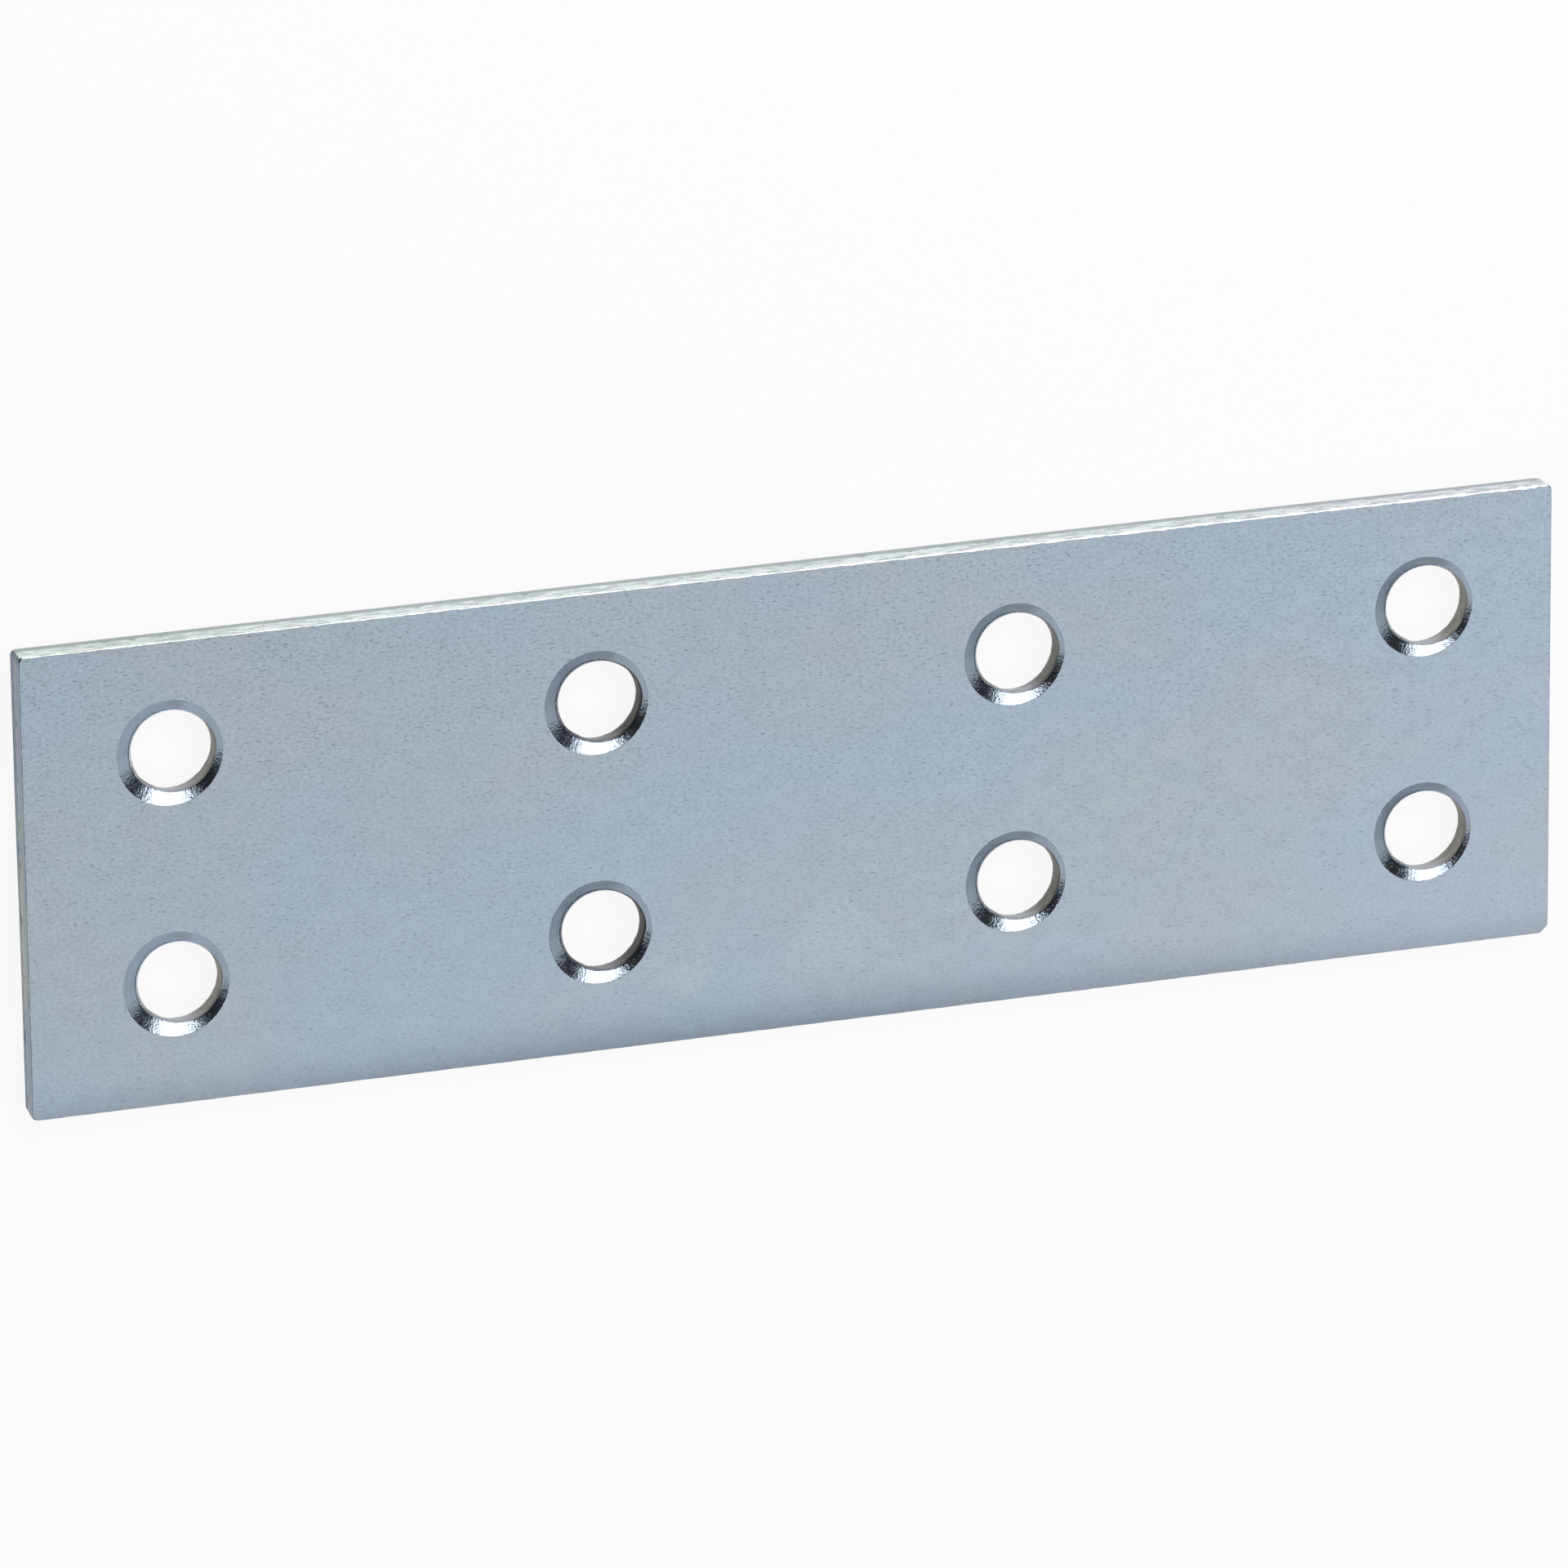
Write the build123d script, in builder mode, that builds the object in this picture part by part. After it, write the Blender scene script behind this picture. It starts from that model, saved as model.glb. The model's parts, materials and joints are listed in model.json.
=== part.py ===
from build123d import *
import os
from math import radians, tan

# Mending plate: one flat strip of zinc-plated sheet steel, with two rows of
# countersunk screw holes. The plate lies on its back face at z = 0, with its
# length along X, its width along Y and the countersunk front face up. The
# origin is the middle of the back face. All sizes are in millimetres.

# Blank
plate_length = 100.0
plate_width = 30.0
plate_thickness = 2.0

# Edges and corners of the blank
roll_radius = 0.25       # front edge, rolled over by the shear
burr_radius = 0.12       # back edge, its burr worn down
corner_radius = 0.4      # the three corners that are only blunted
corner_nip = 0.5         # each leg of the 45 degree nip off the fourth corner

# Screw holes, punched from the front
hole_columns = 4
hole_rows = 2
hole_diameter = 5.2
end_margin = 9.0         # plate end to the outer hole centres, before the drift
side_margin = 7.5        # plate side to the hole centres, before the drift
pattern_drift_x = 0.8    # the punch set all the holes this far along the blank
pattern_drift_y = 0.2    # and this far across it
break_out = 0.12         # the hole is this much wider all round at the back face
break_out_depth = 0.6    # height above the back face where the widening starts

# Countersinks, cut from the front
countersink_land = 0.75  # rim outside the hole's wall, before the drift
countersink_angle = 100.0
cutter_drift_x = -0.4    # the cutter ran this far off each hole's centre
cutter_drift_y = 0.15

# Sizes that follow
hole_radius = hole_diameter / 2
column_pitch = (plate_length - 2 * end_margin) / (hole_columns - 1)
row_pitch = (plate_width - 2 * side_margin) / (hole_rows - 1)
rim_radius = hole_radius + countersink_land
cutter_depth = rim_radius / tan(radians(countersink_angle / 2))

# The middle of the hole pattern on the back face, and the middle of the
# countersinks' pattern on the front face
punch_centre = (pattern_drift_x, pattern_drift_y, 0)
cutter_centre = (
    pattern_drift_x + cutter_drift_x,
    pattern_drift_y + cutter_drift_y,
    plate_thickness,
)

with BuildPart() as plate:
    # Outline of the blank: the corner at +X, -Y is nipped, the others are blunted
    with BuildSketch():
        Rectangle(plate_length, plate_width)
        fillet(vertices().group_by(Axis.X)[0], radius=corner_radius)
        fillet(vertices().group_by(Axis.X)[-1].sort_by(Axis.Y)[-1], radius=corner_radius)
        chamfer(vertices().group_by(Axis.X)[-1].sort_by(Axis.Y)[0], length=corner_nip)
    extrude(amount=plate_thickness)

    # The roll along the front edge, and the worn burr along the back edge
    front_outline = faces().sort_by(Axis.Z)[-1].outer_wire().edges()
    fillet(front_outline, radius=roll_radius)
    back_outline = faces().sort_by(Axis.Z)[0].outer_wire().edges()
    fillet(back_outline, radius=burr_radius)

    # Punched holes, each opening out where its slug broke away at the back
    with Locations(punch_centre):
        with GridLocations(column_pitch, row_pitch, hole_columns, hole_rows):
            Cylinder(
                radius=hole_radius,
                height=plate_thickness,
                align=(Align.CENTER, Align.CENTER, Align.MIN),
                mode=Mode.SUBTRACT,
            )
            Cone(
                bottom_radius=hole_radius + break_out,
                top_radius=hole_radius,
                height=break_out_depth,
                align=(Align.CENTER, Align.CENTER, Align.MIN),
                mode=Mode.SUBTRACT,
            )

    # Countersinks: the cutter's cone, point down, a little off each hole's centre
    with Locations(cutter_centre):
        with GridLocations(column_pitch, row_pitch, hole_columns, hole_rows):
            Cone(
                bottom_radius=rim_radius,
                top_radius=0,
                height=cutter_depth,
                rotation=(180, 0, 0),
                align=(Align.CENTER, Align.CENTER, Align.MIN),
                mode=Mode.SUBTRACT,
            )

plate.part.label = "plate"

os.makedirs("parts", exist_ok=True)
export_step(plate.part, "parts/plate.step")
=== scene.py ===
import json
from math import ceil, cos, degrees, pi, radians, sin, sqrt, tan
from random import Random

import bpy
from mathutils import Matrix, Vector, geometry, noise


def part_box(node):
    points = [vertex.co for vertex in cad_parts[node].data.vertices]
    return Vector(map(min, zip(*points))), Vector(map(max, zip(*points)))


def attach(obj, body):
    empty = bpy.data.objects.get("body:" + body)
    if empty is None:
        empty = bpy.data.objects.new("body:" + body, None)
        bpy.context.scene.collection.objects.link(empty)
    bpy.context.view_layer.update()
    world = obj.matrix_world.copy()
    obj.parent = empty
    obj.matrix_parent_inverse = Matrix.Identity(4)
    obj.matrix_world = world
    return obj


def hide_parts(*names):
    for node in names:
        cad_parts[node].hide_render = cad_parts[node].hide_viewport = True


# The mending plate's looks. The plate is rebuilt as one fine mesh with the shape
# of its solid, so that its sheared edge, its countersinks and its punched holes
# can carry the marks of the tools that made them. Shapes are worked out in
# millimetres and turned into metres at the end; materials and lights follow.

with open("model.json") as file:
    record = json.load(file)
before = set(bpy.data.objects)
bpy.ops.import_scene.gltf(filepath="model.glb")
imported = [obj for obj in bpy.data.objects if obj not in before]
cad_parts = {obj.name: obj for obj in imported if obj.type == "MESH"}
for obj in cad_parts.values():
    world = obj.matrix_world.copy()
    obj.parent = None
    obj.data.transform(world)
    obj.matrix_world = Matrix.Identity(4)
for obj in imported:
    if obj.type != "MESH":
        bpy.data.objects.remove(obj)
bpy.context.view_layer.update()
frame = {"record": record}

# ---------------------------------------------------------------- sizes, mm
mm_per_m = 1000
m_per_mm = 0.001
low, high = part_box("plate")
length, width, thickness = [mm_per_m * (high[i] - low[i]) for i in range(3)]
bolt_patterns = [
    mount for mount in frame["record"]["mounts"] if mount["kind"] == "bolt_pattern"
]
hole_radius = bolt_patterns[0]["dims"]["hole_r_mm"]
hole_centres = [
    Vector(
        (
            mm_per_m * mount["pos_m"][0] + i * mount["dims"]["spacing_x_mm"] / 2,
            mm_per_m * mount["pos_m"][1] + j * mount["dims"]["spacing_y_mm"] / 2,
        )
    )
    for mount in bolt_patterns
    for i in (-1, 1)
    for j in (-1, 1)
]

# The same sizes as the solid's
roll_radius = 0.25
burr_radius = 0.12
corner_radius = 0.4
corner_nip = 0.5
break_out = 0.12
break_out_depth = 0.6
countersink_land = 0.75
rim_radius = hole_radius + countersink_land
cutter_drift = Vector((-0.4, 0.15))
countersink_slope = tan(radians(50))

# The blank, where it differs from the solid: its front edge's roll isn't even, and lies
# between this least one and the solid's before its lumps and nicks are added
least_roll = 0.06
roll_power = 1.43  # 1 would be a round roll and 2 a flat 45 degree one
nip_radius = 0.26  # rounds the two corners that the nip leaves
wall_lean = 0.05   # of the wall's torn back part, on the sides that the photo hides
burnished = 0.72   # depth of the wall's smooth band, on average

# How far the shear pulled the front face down at its sides, and from how far in
low_side_drop, low_side_reach = 0.085, 3.2
high_side_drop, high_side_reach = 0.006, 1.2
end_drop, end_reach = 0.02, 1.6

# The holes and countersinks, where they differ from the solid's
lip_slope = tan(radians(31))  # the wide part of the cone is a little flatter
cone_margin = 0.02            # from the rim in to the first ring of the cone
cone_stop = 0.015             # the cone stops this far outside the hole's wall
wall_start = 0.025            # and the wall starts this far below it, so their edge is blunt
cone_end = 0.9                # past this share of the cone, the metal looks like the wall's
drawn_edge = 0.12             # the hole's upper edge is drawn in by this much at most
torn_edge = 0.06              # and its lower edge is torn this much wider at most
torn_loss = 0.01              # apart from that, the torn part is this much narrower

# What changes from column to column, in plain values that were set to follow what the photo
# shows: the countersinks are a little smaller to the right, the zinc coat in the holes' walls is
# brighter in some columns than in others, and one side of the first column's countersinks is
# painted lighter, as painted light
rim_loss = 0.12  # from the first column to the last
plain, bright, thin = 1.0, 1.5, 0.25
plating_by_column = (bright, thin, plain, bright)
# How much lighter the side of each column's countersinks towards 125 degrees is painted: painted
# light
far_side_sheen_by_column = (1.3, plain, plain, plain)

# How fine the mesh is
outline_step = 0.16
face_step = 0.8
hole_points = 176
roll_steps, wall_steps, burr_steps = 9, 15, 3
cone_shares = (0, 0.10, 0.22, 0.34, 0.46, 0.58, 0.70, 0.82, 0.91, 0.975, 1)
bore_steps = 5
break_out_shares = (0.2, 0.45, 0.7, 1.0)


# ------------------------------------------------------------ surface wear
def fine(x, y, z=0.0):
    """Smooth noise from about -1 to 1, one lump per unit."""
    return noise.noise(Vector((x, y, z)))


def nearness(distance, reach):
    """1 at no distance, falling evenly to 0 at the reach."""
    return max(0.0, 1 - distance / reach)


def face_drop(x, y):
    """How far the shear pulled the front face down, most along the -Y side."""
    low_side = nearness(y + width / 2, low_side_reach)
    high_side = nearness(width / 2 - y, high_side_reach)
    left = nearness(x + length / 2, end_reach)
    right = nearness(length / 2 - x, end_reach)
    sides = low_side_drop * low_side**3 + high_side_drop * high_side**2
    return sides + end_drop * left**2 + end_drop * right**2


def ease(value, start, end):
    """0 before start, 1 after end, and a smooth rise between."""
    share = min(1.0, max(0.0, (value - start) / (end - start)))
    return share * share * (3 - 2 * share)


def lean(point, normal):
    """How far the torn wall leans in at the back face, at one place of the outline."""
    on_left_end = normal.x < -0.7
    on_high_side = normal.y > 0.7
    if on_left_end:
        return 0.03 + 0.06 * ease(-point.y, -6, 8)
    if on_high_side:
        return 0.02 + 0.10 * ease(point.x, 22, 48)
    return wall_lean


def edge_wear(x, y, depth):
    """How far the sheared wall lies inside the blank's outline, at a depth below the front face."""
    tear = burnished + 0.16 * fine(x / 2.6, y / 2.6, 3) + 0.10 * fine(x / 0.5, y / 0.5, 7)
    torn = min(1.0, max(0.0, (depth - tear) / 0.12))
    torn *= min(1.0, max(0.1, (thickness - 0.25 - depth) / 0.35))
    streaks = 0.006 * fine(x / 0.16, y / 0.16, depth / 2.5)
    lumps = 0.035 * abs(fine(x / 0.55, y / 0.55, depth / 0.35))
    grains = 0.016 * fine(x / 0.2, y / 0.2, depth / 0.16)
    chip = 0.3 * max(0.0, fine(x / 0.7, y / 0.7, 11 + depth / 0.6) - 0.42)
    return max(0.0, 0.006 + streaks * (1 - torn) + torn * (0.012 + lumps + grains + chip))


def roll_size(point, normal):
    """How large the sheared front edge is rolled at one place of the outline."""
    along_top = ease(normal.y, 0.55, 1.0)
    top_share = along_top * (0.08 + 0.38 * ease(point.x, -45, 50))
    left_share = -0.25 * normal.x
    size = least_roll + (roll_radius - least_roll) * max(0.0, top_share, left_share)
    lumps = 0.40 * fine(point.x / 0.9, point.y / 0.9, 5)
    nicks = 0.45 * fine(point.x / 0.35, point.y / 0.35, 6)
    return size * (1 + (lumps + nicks))


# ------------------------------------------------------------ mesh patches
points = []  # mm
faces = []  # tuples of point numbers
finish_of = []  # which material each face has
from_cutter = []  # each point's place from its countersink's centre, mm
sheared = []  # each edge point's depth below the front face, mm, and the way its side faces
plating_and_sheen = []  # how bright each point is painted, where 1 is plain: the zinc coat's brightness in the holes' walls, and painted light on one side of some countersinks

FACE, EDGE, CONE, BORE = range(4)


def add_point(x, y, z, cutter=None, plating_and_sheen_value=1.0):
    """A new point, held between the back and the front face; gives its number."""
    points.append((x, y, min(max(z, 0.0), thickness)))
    from_cutter.append((x - cutter[0], y - cutter[1], z) if cutter else (0, 0, 0))
    sheared.append((0, 0, 0))
    plating_and_sheen.append(plating_and_sheen_value)
    return len(points) - 1


def join_rings(rings, finishes, outward):
    """Quads between closed rings of points, each ring with its own finish towards the next."""
    for ring, after, finish in zip(rings, rings[1:], finishes):
        count = len(ring)
        for i in range(count):
            j = (i + 1) % count
            quad = (ring[i], after[i], after[j], ring[j])
            faces.append(quad if outward else quad[::-1])
            finish_of.append(finish)


def rounded_outline(corners, step):
    """(point, outward normal) round a convex polygon with rounded corners, anticlockwise."""
    count = len(corners)
    arcs = []
    for i, (x, y, radius) in enumerate(corners):
        here = Vector((x, y))
        into = (here - Vector(corners[i - 1][:2])).normalized()
        out = (Vector(corners[(i + 1) % count][:2]) - here).normalized()
        turn = into.angle(out)
        start = here - into * radius * tan(turn / 2)
        normal = Vector((into.y, -into.x))
        centre = start - normal * radius
        steps = max(5, ceil(radius * turn / (0.5 * step)))
        arc = []
        for k in range(steps + 1):
            spoke = Matrix.Rotation(turn * k / steps, 2) @ normal
            arc.append((centre + spoke * radius, spoke))
        arcs.append(arc)
    found = []
    for i, arc in enumerate(arcs):
        found += arc
        end, normal = arc[-1]
        after = arcs[(i + 1) % count][0][0]
        steps = ceil((after - end).length / step)
        found += [(end.lerp(after, k / steps), normal) for k in range(1, steps)]
    return found


def outline_rings():
    """The wall of the blank, from the edge of the front face to the edge of the back face."""
    x, y = length / 2, width / 2
    corners = [
        (x - corner_nip, -y, nip_radius),
        (x, -y + corner_nip, nip_radius),
        (x, y, corner_radius),
        (-x, y, corner_radius),
        (-x, -y, corner_radius),
    ]
    outline = rounded_outline(corners, outline_step)
    # the roll's insets and depths in parts of its size, from a little way in on the face
    face_margin = 0.4
    roll = [(-1.0 - face_margin, 0.0)]
    for k in range(roll_steps + 1):
        angle = pi / 2 * (1 - k / roll_steps)
        roll.append((cos(angle) ** roll_power - 1, 1 - sin(angle) ** roll_power))
    wall_end = thickness - burr_radius
    wall = [k / wall_steps for k in range(1, wall_steps + 1)]
    burr = [pi / 2 * k / burr_steps for k in range(1, burr_steps + 1)]
    rings = [[] for _ in roll + wall + burr]
    for point, normal in outline:
        size = roll_size(point, normal)
        profile = [(size * inset, size * depth) for inset, depth in roll]
        profile += [(0.0, size + (wall_end - size) * share) for share in wall]
        profile += [
            (burr_radius * (cos(turn) - 1), wall_end + burr_radius * sin(turn))
            for turn in burr
        ]
        for ring, (inset, depth) in zip(rings, profile):
            push = edge_wear(point.x, point.y, depth) * min(1.0, depth / size) ** 3
            push += lean(point, normal) * ease(depth, 0.5, 2.1)
            at = point + normal * (inset - push)
            drop = face_drop(at.x, at.y) * nearness(depth, 0.8 * thickness)
            ring.append(add_point(at.x, at.y, thickness - depth - drop))
            sheared[-1] = (depth, normal.x, normal.y)
    finishes = [FACE, FACE] + [EDGE] * (len(rings) - 3)
    join_rings(rings, finishes, outward=True)
    return rings[0], rings[-1]


def hole_rings(centre, number):
    """One countersunk hole, from the front face down to the back face."""
    cutter = centre + cutter_drift
    column = number // 2
    rim = rim_radius + rim_loss * (0.5 - column / 3)
    rings = []
    finishes = []

    def ring_of(place, finish):
        ring = []
        for i in range(hole_points):
            angle = 2 * pi * i / hole_points
            x, y, z = place(cos(angle), sin(angle), angle)
            plating_and_sheen_value = plating_by_column[column]
            # On the countersinks, one side is painted lighter in some columns: painted light,
            # standing in for the reflection of a steeper cone
            if finish != BORE:
                far = max(0.0, cos(angle - radians(125)))
                plating_and_sheen_value = 1 + (far_side_sheen_by_column[column] - 1) * far
            ring.append(add_point(x, y, z, cutter, plating_and_sheen_value))
        rings.append(ring)
        finishes.append(finish)

    def lumps(c, s, waves, seed):
        """Noise round the hole, finer with more waves and different for each seed."""
        return fine(waves * c, waves * s, seed)

    def drawn_in(angle):
        """How far the hole's upper edge lies inside the punch's circle, below and to the right."""
        turn = (degrees(angle) + 180) % 360 - 180
        return drawn_edge * ease(turn, -141, -112) * ease(-turn, -5, 22)

    def torn_out(angle):
        """How much wider the hole breaks out at the back, to the right and below."""
        return torn_edge * ease(cos(angle + radians(45)), 0.0, 0.5)

    def ragged(c, s):
        """The rim's small burrs and nicks."""
        return 0.022 * lumps(c, s, 9, number * 3.7) + 0.014 * lumps(c, s, 30, number * 5.1)

    def reach(c, s):
        """From the cutter's axis to the hole's wall, in one direction."""
        along = cutter_drift.x * c + cutter_drift.y * s
        return sqrt(along**2 - cutter_drift.length_squared + hole_radius**2) - along

    def on_face(extra):
        """Places on the front face, this far outside the rim."""

        def place(c, s, angle):
            r = rim + extra + ragged(c, s)
            x, y = cutter.x + r * c, cutter.y + r * s
            return x, y, thickness - face_drop(x, y)

        return place

    def on_cone(share):
        """Places on the countersink, from 0 at its rim to 1 at the hole's wall."""

        def place(c, s, angle):
            inner = reach(c, s) - drawn_in(angle) + cone_stop
            r = rim + ragged(c, s) * (1 - share) - (rim - inner) * share
            r -= cone_margin * (1 - share)
            depth = (rim - r) * lip_slope
            depth += (rim - inner) * (1 / countersink_slope - lip_slope) * share**16
            chatter = 0.003 * lumps(c, s, 8, number * 2.3 + r * 0.8)
            chatter += 0.0015 * lumps(c, s, 30, number * 4.9 + r * 3.0)
            depth += chatter * sin(pi * share)
            return cutter.x + r * c, cutter.y + r * s, thickness - depth

        return place

    def on_bore(share):
        """Places on the hole's straight wall, from 0 at its upper edge to 1 at the break-out."""

        def place(c, s, angle):
            r = reach(c, s) - drawn_in(angle)
            top = thickness - (rim - r) / countersink_slope - wall_start
            r += drawn_in(angle) * share
            z = top + (break_out_depth - top) * share
            streak = 0.010 * lumps(c, s, 26, number * 1.7 + z * 0.3)
            out = Vector((cutter_drift.x + r * c, cutter_drift.y + r * s))
            out *= 1 + streak / hole_radius
            return centre.x + out.x, centre.y + out.y, z

        return place

    def on_break_out(share):
        """Places where the hole widens, from 0 at its start to 1 at the back face."""

        def place(c, s, angle):
            r = reach(c, s)
            out = Vector((cutter_drift.x + r * c, cutter_drift.y + r * s))
            torn = 0.03 * lumps(c, s, 10, number + 5 * share)
            torn += 0.015 * lumps(c, s, 28, number + 9 * share)
            wide = hole_radius + (break_out + torn_out(angle)) * share - torn_loss
            wide += torn * min(share, 0.8)
            out *= wide / hole_radius
            return centre.x + out.x, centre.y + out.y, break_out_depth * (1 - share)

        return place

    ring_of(on_face(0.09), FACE)
    ring_of(on_face(0.045), FACE)
    ring_of(on_face(0.0), CONE)
    for share in cone_shares:
        ring_of(on_cone(share), CONE if share < cone_end else BORE)
    for k in range(bore_steps + 1):
        ring_of(on_bore(k / bore_steps), BORE)
    for share in break_out_shares:
        ring_of(on_break_out(share), BORE)
    join_rings(rings, finishes, outward=False)
    return rings[0], rings[-1]


def fill_face(outline, holes, height, up):
    """A triangulated face inside the outline ring and outside the hole rings."""
    hole_margin, edge_margin = 0.35, 0.9  # how far the loose points stay away
    shake = 0.2  # how far each is moved off its even grid
    dice = Random(12)
    rings = [outline] + holes
    flat = [Vector(points[i][:2]) for ring in rings for i in ring]
    numbers = [i for ring in rings for i in ring]
    edges = []
    first = 0
    for ring in rings:
        count = len(ring)
        edges += [(first + i, first + (i + 1) % count) for i in range(count)]
        first += count
    keep_out = []
    for ring in holes:
        xs, ys = [[points[i][axis] for i in ring] for axis in (0, 1)]
        middle = Vector((min(xs) + max(xs), min(ys) + max(ys))) / 2
        keep_out.append((middle, (max(xs) - min(xs)) / 2 + hole_margin))
    reach_x, reach_y = length / 2 - edge_margin, width / 2 - edge_margin
    columns, rows = ceil(2 * reach_x / face_step), ceil(2 * reach_y / face_step)
    for i in range(columns + 1):
        for j in range(rows + 1):
            spot = Vector(
                (
                    -reach_x + 2 * reach_x * i / columns,
                    -reach_y + 2 * reach_y * j / rows,
                )
            )
            off_border = abs(spot.x) < reach_x - 0.1 and abs(spot.y) < reach_y - 0.1
            if off_border:
                spot += Vector((dice.uniform(-shake, shake), dice.uniform(-shake, shake)))
            if all((spot - middle).length > size for middle, size in keep_out):
                flat.append(spot)
                numbers.append(None)
    spots, _, triangles, origins, _, _ = geometry.delaunay_2d_cdt(
        flat, edges, [], 0, 1e-7
    )
    made = []
    for spot, origin in zip(spots, origins):
        known = [numbers[i] for i in origin if numbers[i] is not None]
        made.append(known[0] if known else add_point(spot.x, spot.y, height(*spot)))
    hole_of = {i: k for k, ring in enumerate(holes) for i in ring}
    outline_points = set(outline)
    for triangle in triangles:
        corners = [made[i] for i in triangle]
        a, b, c = [Vector(points[i][:2]) for i in sorted(corners)]
        holders = {hole_of.get(i) for i in corners}
        if len(holders) == 1:
            hole = holders.pop()
            winding = (b - a).cross(c - a)
            if hole is not None and winding > 0:
                continue  # it lies across a hole
            if hole is None and outline_points.issuperset(corners) and winding < 0:
                continue  # it lies outside the outline
        a, b, c = [spots[i] for i in triangle]
        turns_left = (b - a).cross(c - a) > 0
        faces.append(tuple(corners if turns_left == up else corners[::-1]))
        finish_of.append(FACE)


front_edge, back_edge = outline_rings()
hole_ends = [hole_rings(centre, number) for number, centre in enumerate(hole_centres)]
fill_face(
    front_edge,
    [front for front, back in hole_ends],
    lambda x, y: thickness - face_drop(x, y),
    up=True,
)
fill_face(back_edge, [back for front, back in hole_ends], lambda x, y: 0.0, up=False)


# --------------------------------------------------------------- materials
def node(tree, kind, settings=None, **inputs):
    """A shader node with its settings and its inputs, which are values or other nodes' outputs.

    An input is given by its name, with _ for each space, or by _ and its number.
    """
    made = tree.nodes.new("ShaderNode" + kind)
    for name, value in (settings or {}).items():
        setattr(made, name, value)
    for name, value in inputs.items():
        socket = made.inputs[int(name[1:]) if name[1:].isdigit() else name.replace("_", " ")]
        if isinstance(value, bpy.types.NodeSocket):
            tree.links.new(value, socket)
        else:
            socket.default_value = value
    return made


class Finish:
    """A metal material whose patterns are laid out in millimetres on the object."""

    def __init__(self, name, roughness):
        self.material = bpy.data.materials.new(name)
        self.material.use_nodes = True
        self.tree = self.material.node_tree
        self.metal = self.tree.nodes["Principled BSDF"]
        self.metal.inputs["Metallic"].default_value = 1.0
        self.metal.inputs["Roughness"].default_value = roughness
        place = node(self.tree, "TexCoord").outputs["Object"]
        self.mm = self.scaled(place, (mm_per_m, mm_per_m, mm_per_m))

    def vector_math(self, operation, output, *inputs):
        """One step of vector arithmetic."""
        numbered = {f"_{i}": value for i, value in enumerate(inputs)}
        made = node(self.tree, "VectorMath", {"operation": operation}, **numbered)
        return made.outputs[output]

    def scaled(self, vector, by):
        return self.vector_math("MULTIPLY", "Vector", vector, by)

    def parts(self, vector):
        """The X, Y and Z of a vector."""
        return node(self.tree, "SeparateXYZ", Vector=vector).outputs

    def joined(self, x, y, z):
        """A vector or a colour from its three values."""
        return node(self.tree, "CombineXYZ", X=x, Y=y, Z=z).outputs[0]

    def pattern(self, by, detail=2.0, vector=None, roughness=0.5, distortion=0.0):
        """Noise from 0 to 1, with this many lumps per mm along X, Y and Z.

        Another vector may stand in for the place in mm.
        """
        made = node(
            self.tree,
            "TexNoise",
            Vector=self.scaled(vector or self.mm, by),
            Scale=1.0,
            Detail=detail,
            Roughness=roughness,
            Distortion=distortion,
        )
        return made.outputs["Fac"]

    def ramp(self, value, start, end, low=0.0, high=1.0, smooth=True):
        """value from start to end, stretched to low to high and held there."""
        kind = "SMOOTHSTEP" if smooth else "LINEAR"
        made = node(
            self.tree,
            "MapRange",
            {"interpolation_type": kind},
            Value=value,
            From_Min=start,
            From_Max=end,
            To_Min=low,
            To_Max=high,
        )
        return made.outputs["Result"]

    def math(self, operation, a, b):
        return node(self.tree, "Math", {"operation": operation}, _0=a, _1=b).outputs[0]

    def mix(self, share, a, b, blend="MIX"):
        """Colour a, with this share of colour b over it."""
        settings = {"data_type": "RGBA", "blend_type": blend}
        made = node(self.tree, "Mix", settings, _0=share, _6=a, _7=b)
        return made.outputs[2]

    def tinted(self, colour, tint):
        return self.mix(1.0, colour, tint, "MULTIPLY")

    def attribute(self, name, output="Vector"):
        return node(self.tree, "Attribute", {"attribute_name": name}).outputs[output]

    def plating_and_sheen(self, colour):
        """A colour, made brighter or darker by the zinc coat's brightness in the holes' walls, and
        painted lighter on one side of some countersinks as painted light.
        """
        plating_and_sheen_value = self.attribute("plating_and_sheen", "Fac")
        return self.tinted(colour, self.joined(plating_and_sheen_value, plating_and_sheen_value, plating_and_sheen_value))

    def from_cutter(self):
        """The distance in mm from the countersink's axis, and the direction away from it."""
        flat = self.scaled(self.attribute("from_cutter"), (1, 1, 0))
        distance = self.vector_math("LENGTH", "Value", flat)
        return distance, self.vector_math("NORMALIZE", "Vector", flat)

    def bump(self, height, distance, below=None):
        """Relief of this height in metres, on top of the relief below."""
        inputs = {"Height": height, "Distance": distance, "Strength": 1.0}
        if below:
            inputs["Normal"] = below
        return node(self.tree, "Bump", **inputs).outputs["Normal"]

    def use(self, colour=None, roughness=None, normal=None):
        """Lay these on the metal, and leave what isn't given."""
        for name, value in (
            ("Base Color", colour),
            ("Roughness", roughness),
            ("Normal", normal),
        ):
            if value is not None:
                self.tree.links.new(value, self.metal.inputs[name])


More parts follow.
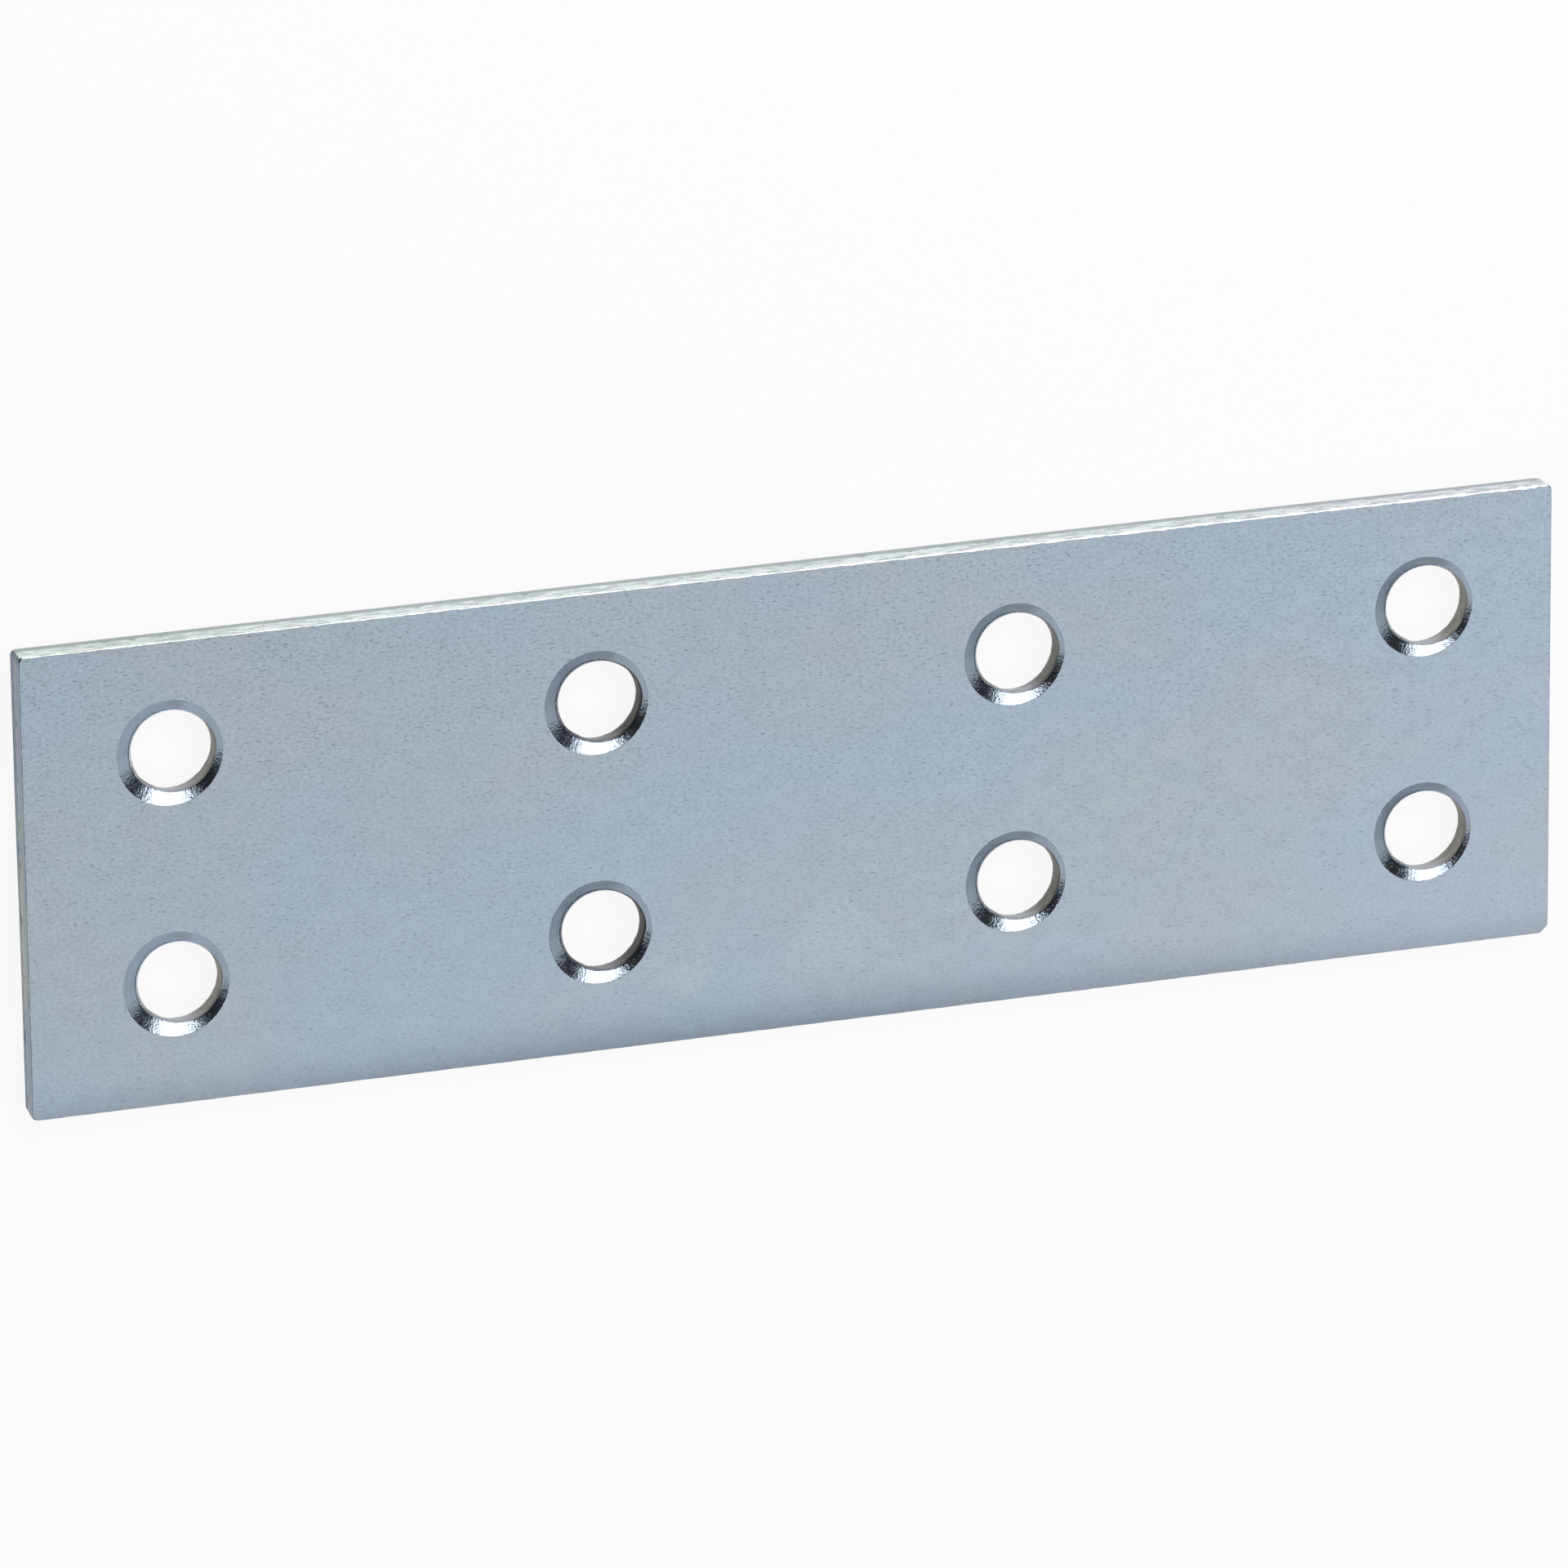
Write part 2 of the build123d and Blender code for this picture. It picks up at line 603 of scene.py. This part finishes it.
def rolled_face():
    """Blue-passivated zinc on rolled sheet: matt and cloudy, with fine pits drawn out lengthwise."""
    f = Finish("zinc_rolled_face", 0.42)
    along, across, _ = f.parts(f.mm)
    half_length, half_width = length / 2, width / 2

    # Large clouds of slightly different passivation
    blue = (0.388, 0.474, 0.570, 1)
    lilac = (0.412, 0.466, 0.542, 1)
    teal = (0.390, 0.482, 0.553, 1)
    straw = (0.425, 0.480, 0.505, 1)
    clouds = f.pattern((0.05, 0.08, 0.1), detail=2)
    blotches = f.pattern((0.16, 0.2, 0.2), detail=2)
    stains = f.pattern((0.07, 0.10, 0.1), detail=4, distortion=0.6)
    colour = f.mix(f.ramp(clouds, 0.38, 0.64), blue, lilac)
    colour = f.mix(f.ramp(blotches, 0.42, 0.66, 0, 0.4), colour, teal)
    colour = f.mix(f.ramp(stains, 0.66, 0.76, 0, 0.55), colour, straw)

    # Two faint stains towards the -Y side: where each lies and how far it reaches, in mm
    stained = (0.416, 0.493, 0.546, 1)
    for place, size in (((1.5, -9.0, 2.0), 3.4), ((-7.6, -10.8, 2.0), 2.8)):
        away = f.vector_math("DISTANCE", "Value", f.mm, place)
        ragged = f.math("ADD", away, f.ramp(stains, 0.3, 0.7, 2.0, -2.0))
        colour = f.mix(f.ramp(ragged, size, 0.0, 0, 0.9), colour, stained)

    # The face is painted a little lighter at the right end, as painted light, and is a little bluer
    # there; red, green and blue, left to right
    ends = ((1.01, 1.105), (0.995, 1.095), (0.97, 1.09))
    right_end_sheen_and_tint = [f.ramp(along, -half_length, half_length, *tones, smooth=False) for tones in ends]
    colour = f.tinted(colour, f.joined(*right_end_sheen_and_tint))

    # Painted shade: a darker strip along the -Y side, widest a little left of the middle, where the
    # face turns down towards its edge
    painted_edge_shade = (0.14, 0.18, 0.24, 1)
    off_middle = f.math("ABSOLUTE", f.math("ADD", along, 5.0), 0.0)
    rise = f.ramp(off_middle, 8, half_length, 0, 1.2, smooth=False)
    edge_shade_share = f.ramp(f.math("ADD", across, rise), -11, -half_width, 0, 1, smooth=False)
    edge_shade_share = f.math("MULTIPLY", f.math("MULTIPLY", edge_shade_share, edge_shade_share), 0.65)
    colour = f.mix(edge_shade_share, colour, painted_edge_shade)

    # Grain and pits, deeper on the left and towards the +Y side
    deeper = f.math(
        "MULTIPLY",
        f.ramp(along, -half_length, half_length, 1.02, 0.78, smooth=False),
        f.ramp(across, -half_width, half_width, 0.80, 1.30, smooth=False),
    )
    grain_shade = (0.16, 0.19, 0.22, 1)
    grain = f.pattern((3.7, 6.0, 5.0), detail=3)
    shade = f.math("MULTIPLY", deeper, f.ramp(grain, 0.30, 0.75, 0.0, 0.25))
    colour = f.mix(shade, colour, grain_shade)
    pit_shade = (0.15, 0.18, 0.21, 1)
    crowding = f.ramp(f.pattern((0.25, 0.35, 0.3), detail=2), 0.35, 0.65, -0.02, 0.02)
    upwards = f.ramp(across, -half_width, half_width, -0.02, 0.02, smooth=False)
    crowding = f.math("ADD", crowding, upwards)
    dashes = f.pattern((2.7, 7.5, 4.0), detail=1, distortion=0.3)
    pits = f.ramp(f.math("ADD", dashes, crowding), 0.61, 0.77)
    pitted = f.math("MULTIPLY", pits, f.math("MULTIPLY", deeper, 0.41))
    colour = f.mix(pitted, colour, pit_shade)

    normal = f.bump(f.math("MULTIPLY", pits, -1.0), 0.000006)
    roughness = f.ramp(f.pattern((0.5, 0.9, 0.5)), 0.3, 0.7, 0.40, 0.44)
    f.use(colour, roughness, normal)
    return f.material


def sheared_edge():
    """The cut edge: a burnished band with bright flakes, painted whiter near the front face as a
    painted highlight, the torn strip behind it, and ends painted darker as painted shade.
    """
    f = Finish("zinc_sheared_edge", 0.3)
    below_face, facing_x, _ = f.parts(f.attribute("sheared"))
    along, across, _ = f.parts(f.mm)
    streaks = f.pattern((1.1, 1.1, 3.0), detail=4, roughness=0.6)
    fine_streaks = f.pattern((4.0, 4.0, 6.0), detail=2)
    wander = f.ramp(streaks, 0.35, 0.65, -0.12, 0.12, smooth=False)
    depth = f.math("ADD", below_face, wander)

    # The long sides, from the front face to the back face. The burnished band is painted whiter
    # towards the front face, partly its own polish and partly a painted highlight, and its bright
    # flakes are partly painted glints
    burnished_front_and_highlight = (0.95, 0.98, 0.97, 1)
    burnished_back = (0.745, 0.83, 0.835, 1)
    streak_grey = (0.45, 0.51, 0.53, 1)
    flake_and_glint_white = (0.93, 1.0, 1.0, 1)
    torn_grey = (0.45, 0.495, 0.505, 1)
    roll_grey = (0.46, 0.48, 0.475, 1)
    colour = f.mix(f.ramp(depth, 0.12, 0.65), burnished_front_and_highlight, burnished_back)
    colour = f.mix(f.ramp(streaks, 0.52, 0.40, 0, 0.8), colour, streak_grey)
    flakes = f.math("MULTIPLY", f.ramp(streaks, 0.54, 0.60), f.ramp(fine_streaks, 0.40, 0.5))
    colour = f.mix(flakes, colour, flake_and_glint_white)
    colour = f.mix(f.ramp(below_face, 1.25, 1.40), colour, torn_grey)
    colour = f.mix(f.ramp(depth, 0.16, 0.06, 0, 0.7), colour, roll_grey)
    greenish = f.tinted(colour, (0.92, 0.95, 0.90, 1))
    lilac = f.tinted(colour, (0.97, 0.94, 1.0, 1))
    colour = f.mix(f.ramp(along, -30, -44), colour, greenish)
    colour = f.mix(f.ramp(along, 22, 42), colour, lilac)

    # The two ends are painted darker, as painted shade, and greener near their middle
    shaded_end_blue = (0.105, 0.148, 0.212, 1)
    shaded_end_green = (0.182, 0.216, 0.185, 1)
    end_streak = (0.09, 0.105, 0.14, 1)
    clouds = f.ramp(f.pattern((0.16, 0.16, 0.3), detail=2), 0.35, 0.65, -2.5, 2.5)
    from_middle = f.math("ABSOLUTE", f.math("ADD", across, 2.5), 0.0)
    greener = f.ramp(f.math("ADD", from_middle, clouds), 8.0, 3.0)
    ends = f.mix(greener, shaded_end_blue, shaded_end_green)
    ends = f.mix(f.ramp(streaks, 0.35, 0.65, 0, 0.35), ends, end_streak)
    # Painted light: the ends are painted lighter towards the back face
    painted_light_to_back = f.ramp(below_face, 0.2, 1.5, 0.90, 1.3, smooth=False)
    ends = f.tinted(ends, f.joined(painted_light_to_back, painted_light_to_back, painted_light_to_back))
    at_end = f.ramp(f.math("ABSOLUTE", facing_x, 0.0), 0.6, 0.8)
    colour = f.mix(at_end, colour, ends)

    # Marks all round: streaks, specks, the ends' rolled edge, and painted shade in the left corners
    streak_dark = (0.12, 0.13, 0.14, 1)
    speck_dark = (0.12, 0.12, 0.13, 1)
    end_roll = (0.36, 0.42, 0.48, 1)
    painted_corner_shade = (0.06, 0.065, 0.07, 1)
    colour = f.mix(f.ramp(fine_streaks, 0.40, 0.62, 0, 0.16), colour, streak_dark)
    specks = f.ramp(f.pattern((3.0, 3.0, 3.5), detail=2), 0.70, 0.76)
    colour = f.mix(f.math("MULTIPLY", specks, 0.5), colour, speck_dark)
    rolled = f.ramp(below_face, 0.16, 0.08)
    colour = f.mix(f.math("MULTIPLY", at_end, rolled), colour, end_roll)
    # Painted shade in the two rounded corners of the left end
    past_side = f.ramp(facing_x, -0.45, -0.60)
    before_end = f.ramp(facing_x, -0.85, -0.70)
    shaded_corner = f.math("MULTIPLY", past_side, before_end)
    colour = f.mix(f.math("MULTIPLY", shaded_corner, 0.8), colour, painted_corner_shade)

    roughness = f.ramp(depth, 1.0, 1.4, 0.28, 0.42, smooth=False)
    f.use(colour, roughness, f.bump(fine_streaks, 0.000008))
    return f.material


def turned_cone():
    """The countersink: bright turned metal, finely ringed, with the speckle of its crystals."""
    f = Finish("zinc_turned_countersink", 0.26)
    distance, spoke = f.from_cutter()
    spoke_x, spoke_y, _ = f.parts(spoke)

    # Rings round the cutter's axis, and chatter that goes with the angle alone
    ring_blue = (0.46, 0.545, 0.655, 1)
    ring_pale = (0.51, 0.595, 0.705, 1)
    rings = f.pattern((1.5, 1.5, 10.0), vector=f.joined(spoke_x, spoke_y, distance))
    chatter = f.pattern((22, 22, 0), detail=1, vector=spoke)
    # The per-point brightness paints one side of the first column's countersinks lighter: painted
    # light
    colour = f.plating_and_sheen(f.mix(f.ramp(rings, 0.35, 0.65), ring_blue, ring_pale))

    # Crystals and lumps, which are stronger on the side towards -Y
    crystals = f.pattern((7.5, 7.5, 7.5), detail=2.5)
    lumps = f.pattern((2.2, 2.2, 2.2), detail=1)
    low_side = f.ramp(spoke_y, 0.1, -0.3, 0.45, 1.0)
    normal = f.bump(rings, 0.0000015)
    normal = f.bump(chatter, 0.000005, normal)
    normal = f.bump(f.math("MULTIPLY", low_side, lumps), 0.000013, normal)
    normal = f.bump(f.math("MULTIPLY", low_side, crystals), 0.000023, normal)

    roughness = f.ramp(rings, 0.3, 0.7, 0.16, 0.21)
    f.use(colour, roughness, normal)
    return f.material


def punched_bore():
    """The hole's wall: drawn by the punch, torn where the slug broke out, and thinly zinc-coated,
    with a painted reflection of bright zinc on its -Y side and some painted shade in its torn lower
    part.
    """
    f = Finish("zinc_punched_bore", 0.45)
    f.metal.inputs["Metallic"].default_value = 0.4
    f.metal.inputs["Specular IOR Level"].default_value = 0.15
    _, _, height = f.parts(f.mm)

    # The drawn part, with layers round it, and the torn part near the back face, which is darker
    # partly for its torn metal and partly as painted shade deep in the hole
    drawn_dark = (0.150, 0.146, 0.126, 1)
    drawn_pale = (0.215, 0.21, 0.19, 1)
    torn_dark = (0.105, 0.10, 0.085, 1)
    torn_pale = (0.18, 0.175, 0.155, 1)
    wander = f.ramp(f.pattern((0.7, 0.7, 0.2)), 0.3, 0.7, -0.3, 0.3, smooth=False)
    torn = f.ramp(f.math("ADD", height, wander), 1.0, 0.3)
    layers = f.pattern((0.9, 0.9, 4.0), detail=3, distortion=0.3)
    rough = f.pattern((3.0, 3.0, 4.0), detail=3)
    drawn_wall = f.mix(f.ramp(layers, 0.35, 0.65), drawn_dark, drawn_pale)
    torn_and_shaded_wall = f.mix(f.ramp(rough, 0.35, 0.65), torn_dark, torn_pale)
    colour = f.plating_and_sheen(f.mix(torn, drawn_wall, torn_and_shaded_wall))

    # A painted reflection: brighter zinc painted on the wall's -Y side, less so where the zinc coat
    # is thin
    zinc = (0.50, 0.51, 0.57, 1)
    _, spoke = f.from_cutter()
    _, spoke_y, _ = f.parts(spoke)
    low_side = f.ramp(spoke_y, -0.70, -1.0)
    brightness = f.ramp(f.attribute("plating_and_sheen", "Fac"), 0.2, 0.9, 0.5, 1.0, smooth=False)
    shine = f.ramp(layers, 0.35, 0.6, 0.7, 1.0)
    share = f.math("MULTIPLY", f.math("MULTIPLY", low_side, brightness), shine)
    colour = f.mix(share, colour, zinc)

    f.use(colour, None, f.bump(f.mix(torn, layers, rough), 0.00001))
    return f.material


# ------------------------------------------------------------------- plate
mesh = bpy.data.meshes.new("mending_plate")
mesh.from_pydata([tuple(m_per_mm * v for v in point) for point in points], [], faces)
for finish in (rolled_face(), sheared_edge(), turned_cone(), punched_bore()):
    mesh.materials.append(finish)
mesh.polygons.foreach_set("material_index", finish_of)
mesh.polygons.foreach_set("use_smooth", [True] * len(faces))
for name, vectors in (("from_cutter", from_cutter), ("sheared", sheared)):
    attribute = mesh.attributes.new(name, "FLOAT_VECTOR", "POINT")
    attribute.data.foreach_set("vector", [value for vector in vectors for value in vector])
mesh.attributes.new("plating_and_sheen", "FLOAT", "POINT").data.foreach_set("value", plating_and_sheen)
mesh.validate()
mesh.update()
plate = bpy.data.objects.new("mending_plate", mesh)
bpy.context.scene.collection.objects.link(plate)
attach(plate, "root")
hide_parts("plate")


# ------------------------------------------------------------------- stage
def pale_floor():
    """A floor that the camera and the metal see near white, with the plate's soft shadow on it."""
    plain_white = 0.9  # the share that is white by itself; the rest takes light and shadow
    material = bpy.data.materials.new("pale_floor")
    material.use_nodes = True
    tree = material.node_tree
    tree.nodes.remove(tree.nodes["Principled BSDF"])
    rays = node(tree, "LightPath").outputs
    seen = rays["Is Camera Ray"]
    for other in (rays["Is Glossy Ray"], rays["Is Transmission Ray"]):
        seen = node(tree, "Math", {"operation": "MAXIMUM"}, _0=seen, _1=other).outputs[0]
    share = node(tree, "Math", {"operation": "MULTIPLY"}, _0=seen, _1=plain_white).outputs[0]
    lit = node(tree, "BsdfDiffuse", Color=(0.93, 0.93, 0.93, 1)).outputs[0]
    white = node(tree, "Emission", Color=(1, 1, 1, 1), Strength=1.0).outputs[0]
    both = node(tree, "MixShader", Fac=share, _1=lit, _2=white).outputs[0]
    tree.links.new(both, tree.nodes["Material Output"].inputs["Surface"])
    return material


floor_reach = 12.0
floor_gap = 0.00002  # below the plate, so that the two don't lie in one plane
floor_mesh = bpy.data.meshes.new("floor")
floor_mesh.from_pydata(
    [
        (-floor_reach, -floor_reach, 0),
        (floor_reach, -floor_reach, 0),
        (floor_reach, floor_reach, 0),
        (-floor_reach, floor_reach, 0),
    ],
    [],
    [(0, 1, 2, 3)],
)
floor_mesh.materials.append(pale_floor())
floor = bpy.data.objects.new("floor", floor_mesh)
floor.location.z = low.z - floor_gap
bpy.context.scene.collection.objects.link(floor)


def softbox(name, place, target, wide, high, radiance):
    """A soft panel at a place in metres, facing a target; radiance 1 is white."""
    light = bpy.data.lights.new(name, "AREA")
    light.shape = "RECTANGLE"
    light.size, light.size_y = wide, high
    light.energy = radiance * pi * wide * high
    lamp = bpy.data.objects.new(name, light)
    lamp.location = place
    away = Vector(place) - Vector(target)
    lamp.rotation_euler = away.to_track_quat("Z", "Y").to_euler()
    bpy.context.scene.collection.objects.link(lamp)


# The key light, above the plate and beyond its +Y side; places and sizes are in metres
key_place = (0.101, 0.350, 0.234)
key_target = (-0.026, -0.0005, 0.0163)
key_width, key_height = 0.446, 0.49
key_radiance = 2.5
softbox("key_softbox", key_place, key_target, key_width, key_height, key_radiance)

# A light tent over the plate and round its front; the roof ends earlier on the left
left, right, front, back, roof = -1.5, 1.6, -1.6, 0.06, 1.2
roof_split = -0.6          # between the roof's two panels
left_roof_end = -0.25
right_wall_split = -0.45   # between the right wall's two panels


def roof_panel(name, x_from, x_to, y_to, radiance):
    """A panel of the roof, from the tent's front back to y_to."""
    place = ((x_from + x_to) / 2, (front + y_to) / 2)
    softbox(name, (*place, roof), (*place, 0), x_to - x_from, y_to - front, radiance)


def wall_panel(name, start, end, radiance):
    """A panel as high as the tent, standing between two places on the floor."""
    place = Vector(start).lerp(Vector(end), 0.5)
    inward = Vector((start[1] - end[1], end[0] - start[0])).normalized()
    wide = (Vector(end) - Vector(start)).length
    target = (*(place + inward), roof / 2)
    softbox(name, (*place, roof / 2), target, wide, roof, radiance)


roof_panel("top_panel", roof_split, right, back, 1.14)
roof_panel("top_left_panel", left, roof_split, left_roof_end, 0.6)
wall_panel("left_wall", (left, back), (left, front), 0.5)
wall_panel("front_wall_left", (left, front), (0, front), 0.53)
wall_panel("front_wall_right", (0, front), (right, front), 0.38)
wall_panel("right_wall_front", (right, front), (right, right_wall_split), 0.43)
wall_panel("right_wall_back", (right, right_wall_split), (right, back), 0.55)

dim_room = (0.015, 0.015, 0.015, 1)
world = bpy.data.worlds.new("studio")
world.use_nodes = True
world.node_tree.nodes["Background"].inputs["Color"].default_value = dim_room
bpy.context.scene.world = world
bpy.context.scene.view_settings.view_transform = "Standard"

# ------------------------------------------------------------------ camera
# Its place, turn and lens were found by fitting a pinhole camera to the photo
lens = bpy.data.cameras.new("camera")
lens.lens = 288.66
lens.clip_start, lens.clip_end = 0.05, 50
camera = bpy.data.objects.new("camera", lens)
camera.location = (-0.23299, 0.25453, 0.70336)
camera.rotation_euler = [radians(turn) for turn in (-18.724, -18.506, -0.666)]
bpy.context.scene.collection.objects.link(camera)
bpy.context.scene.camera = camera
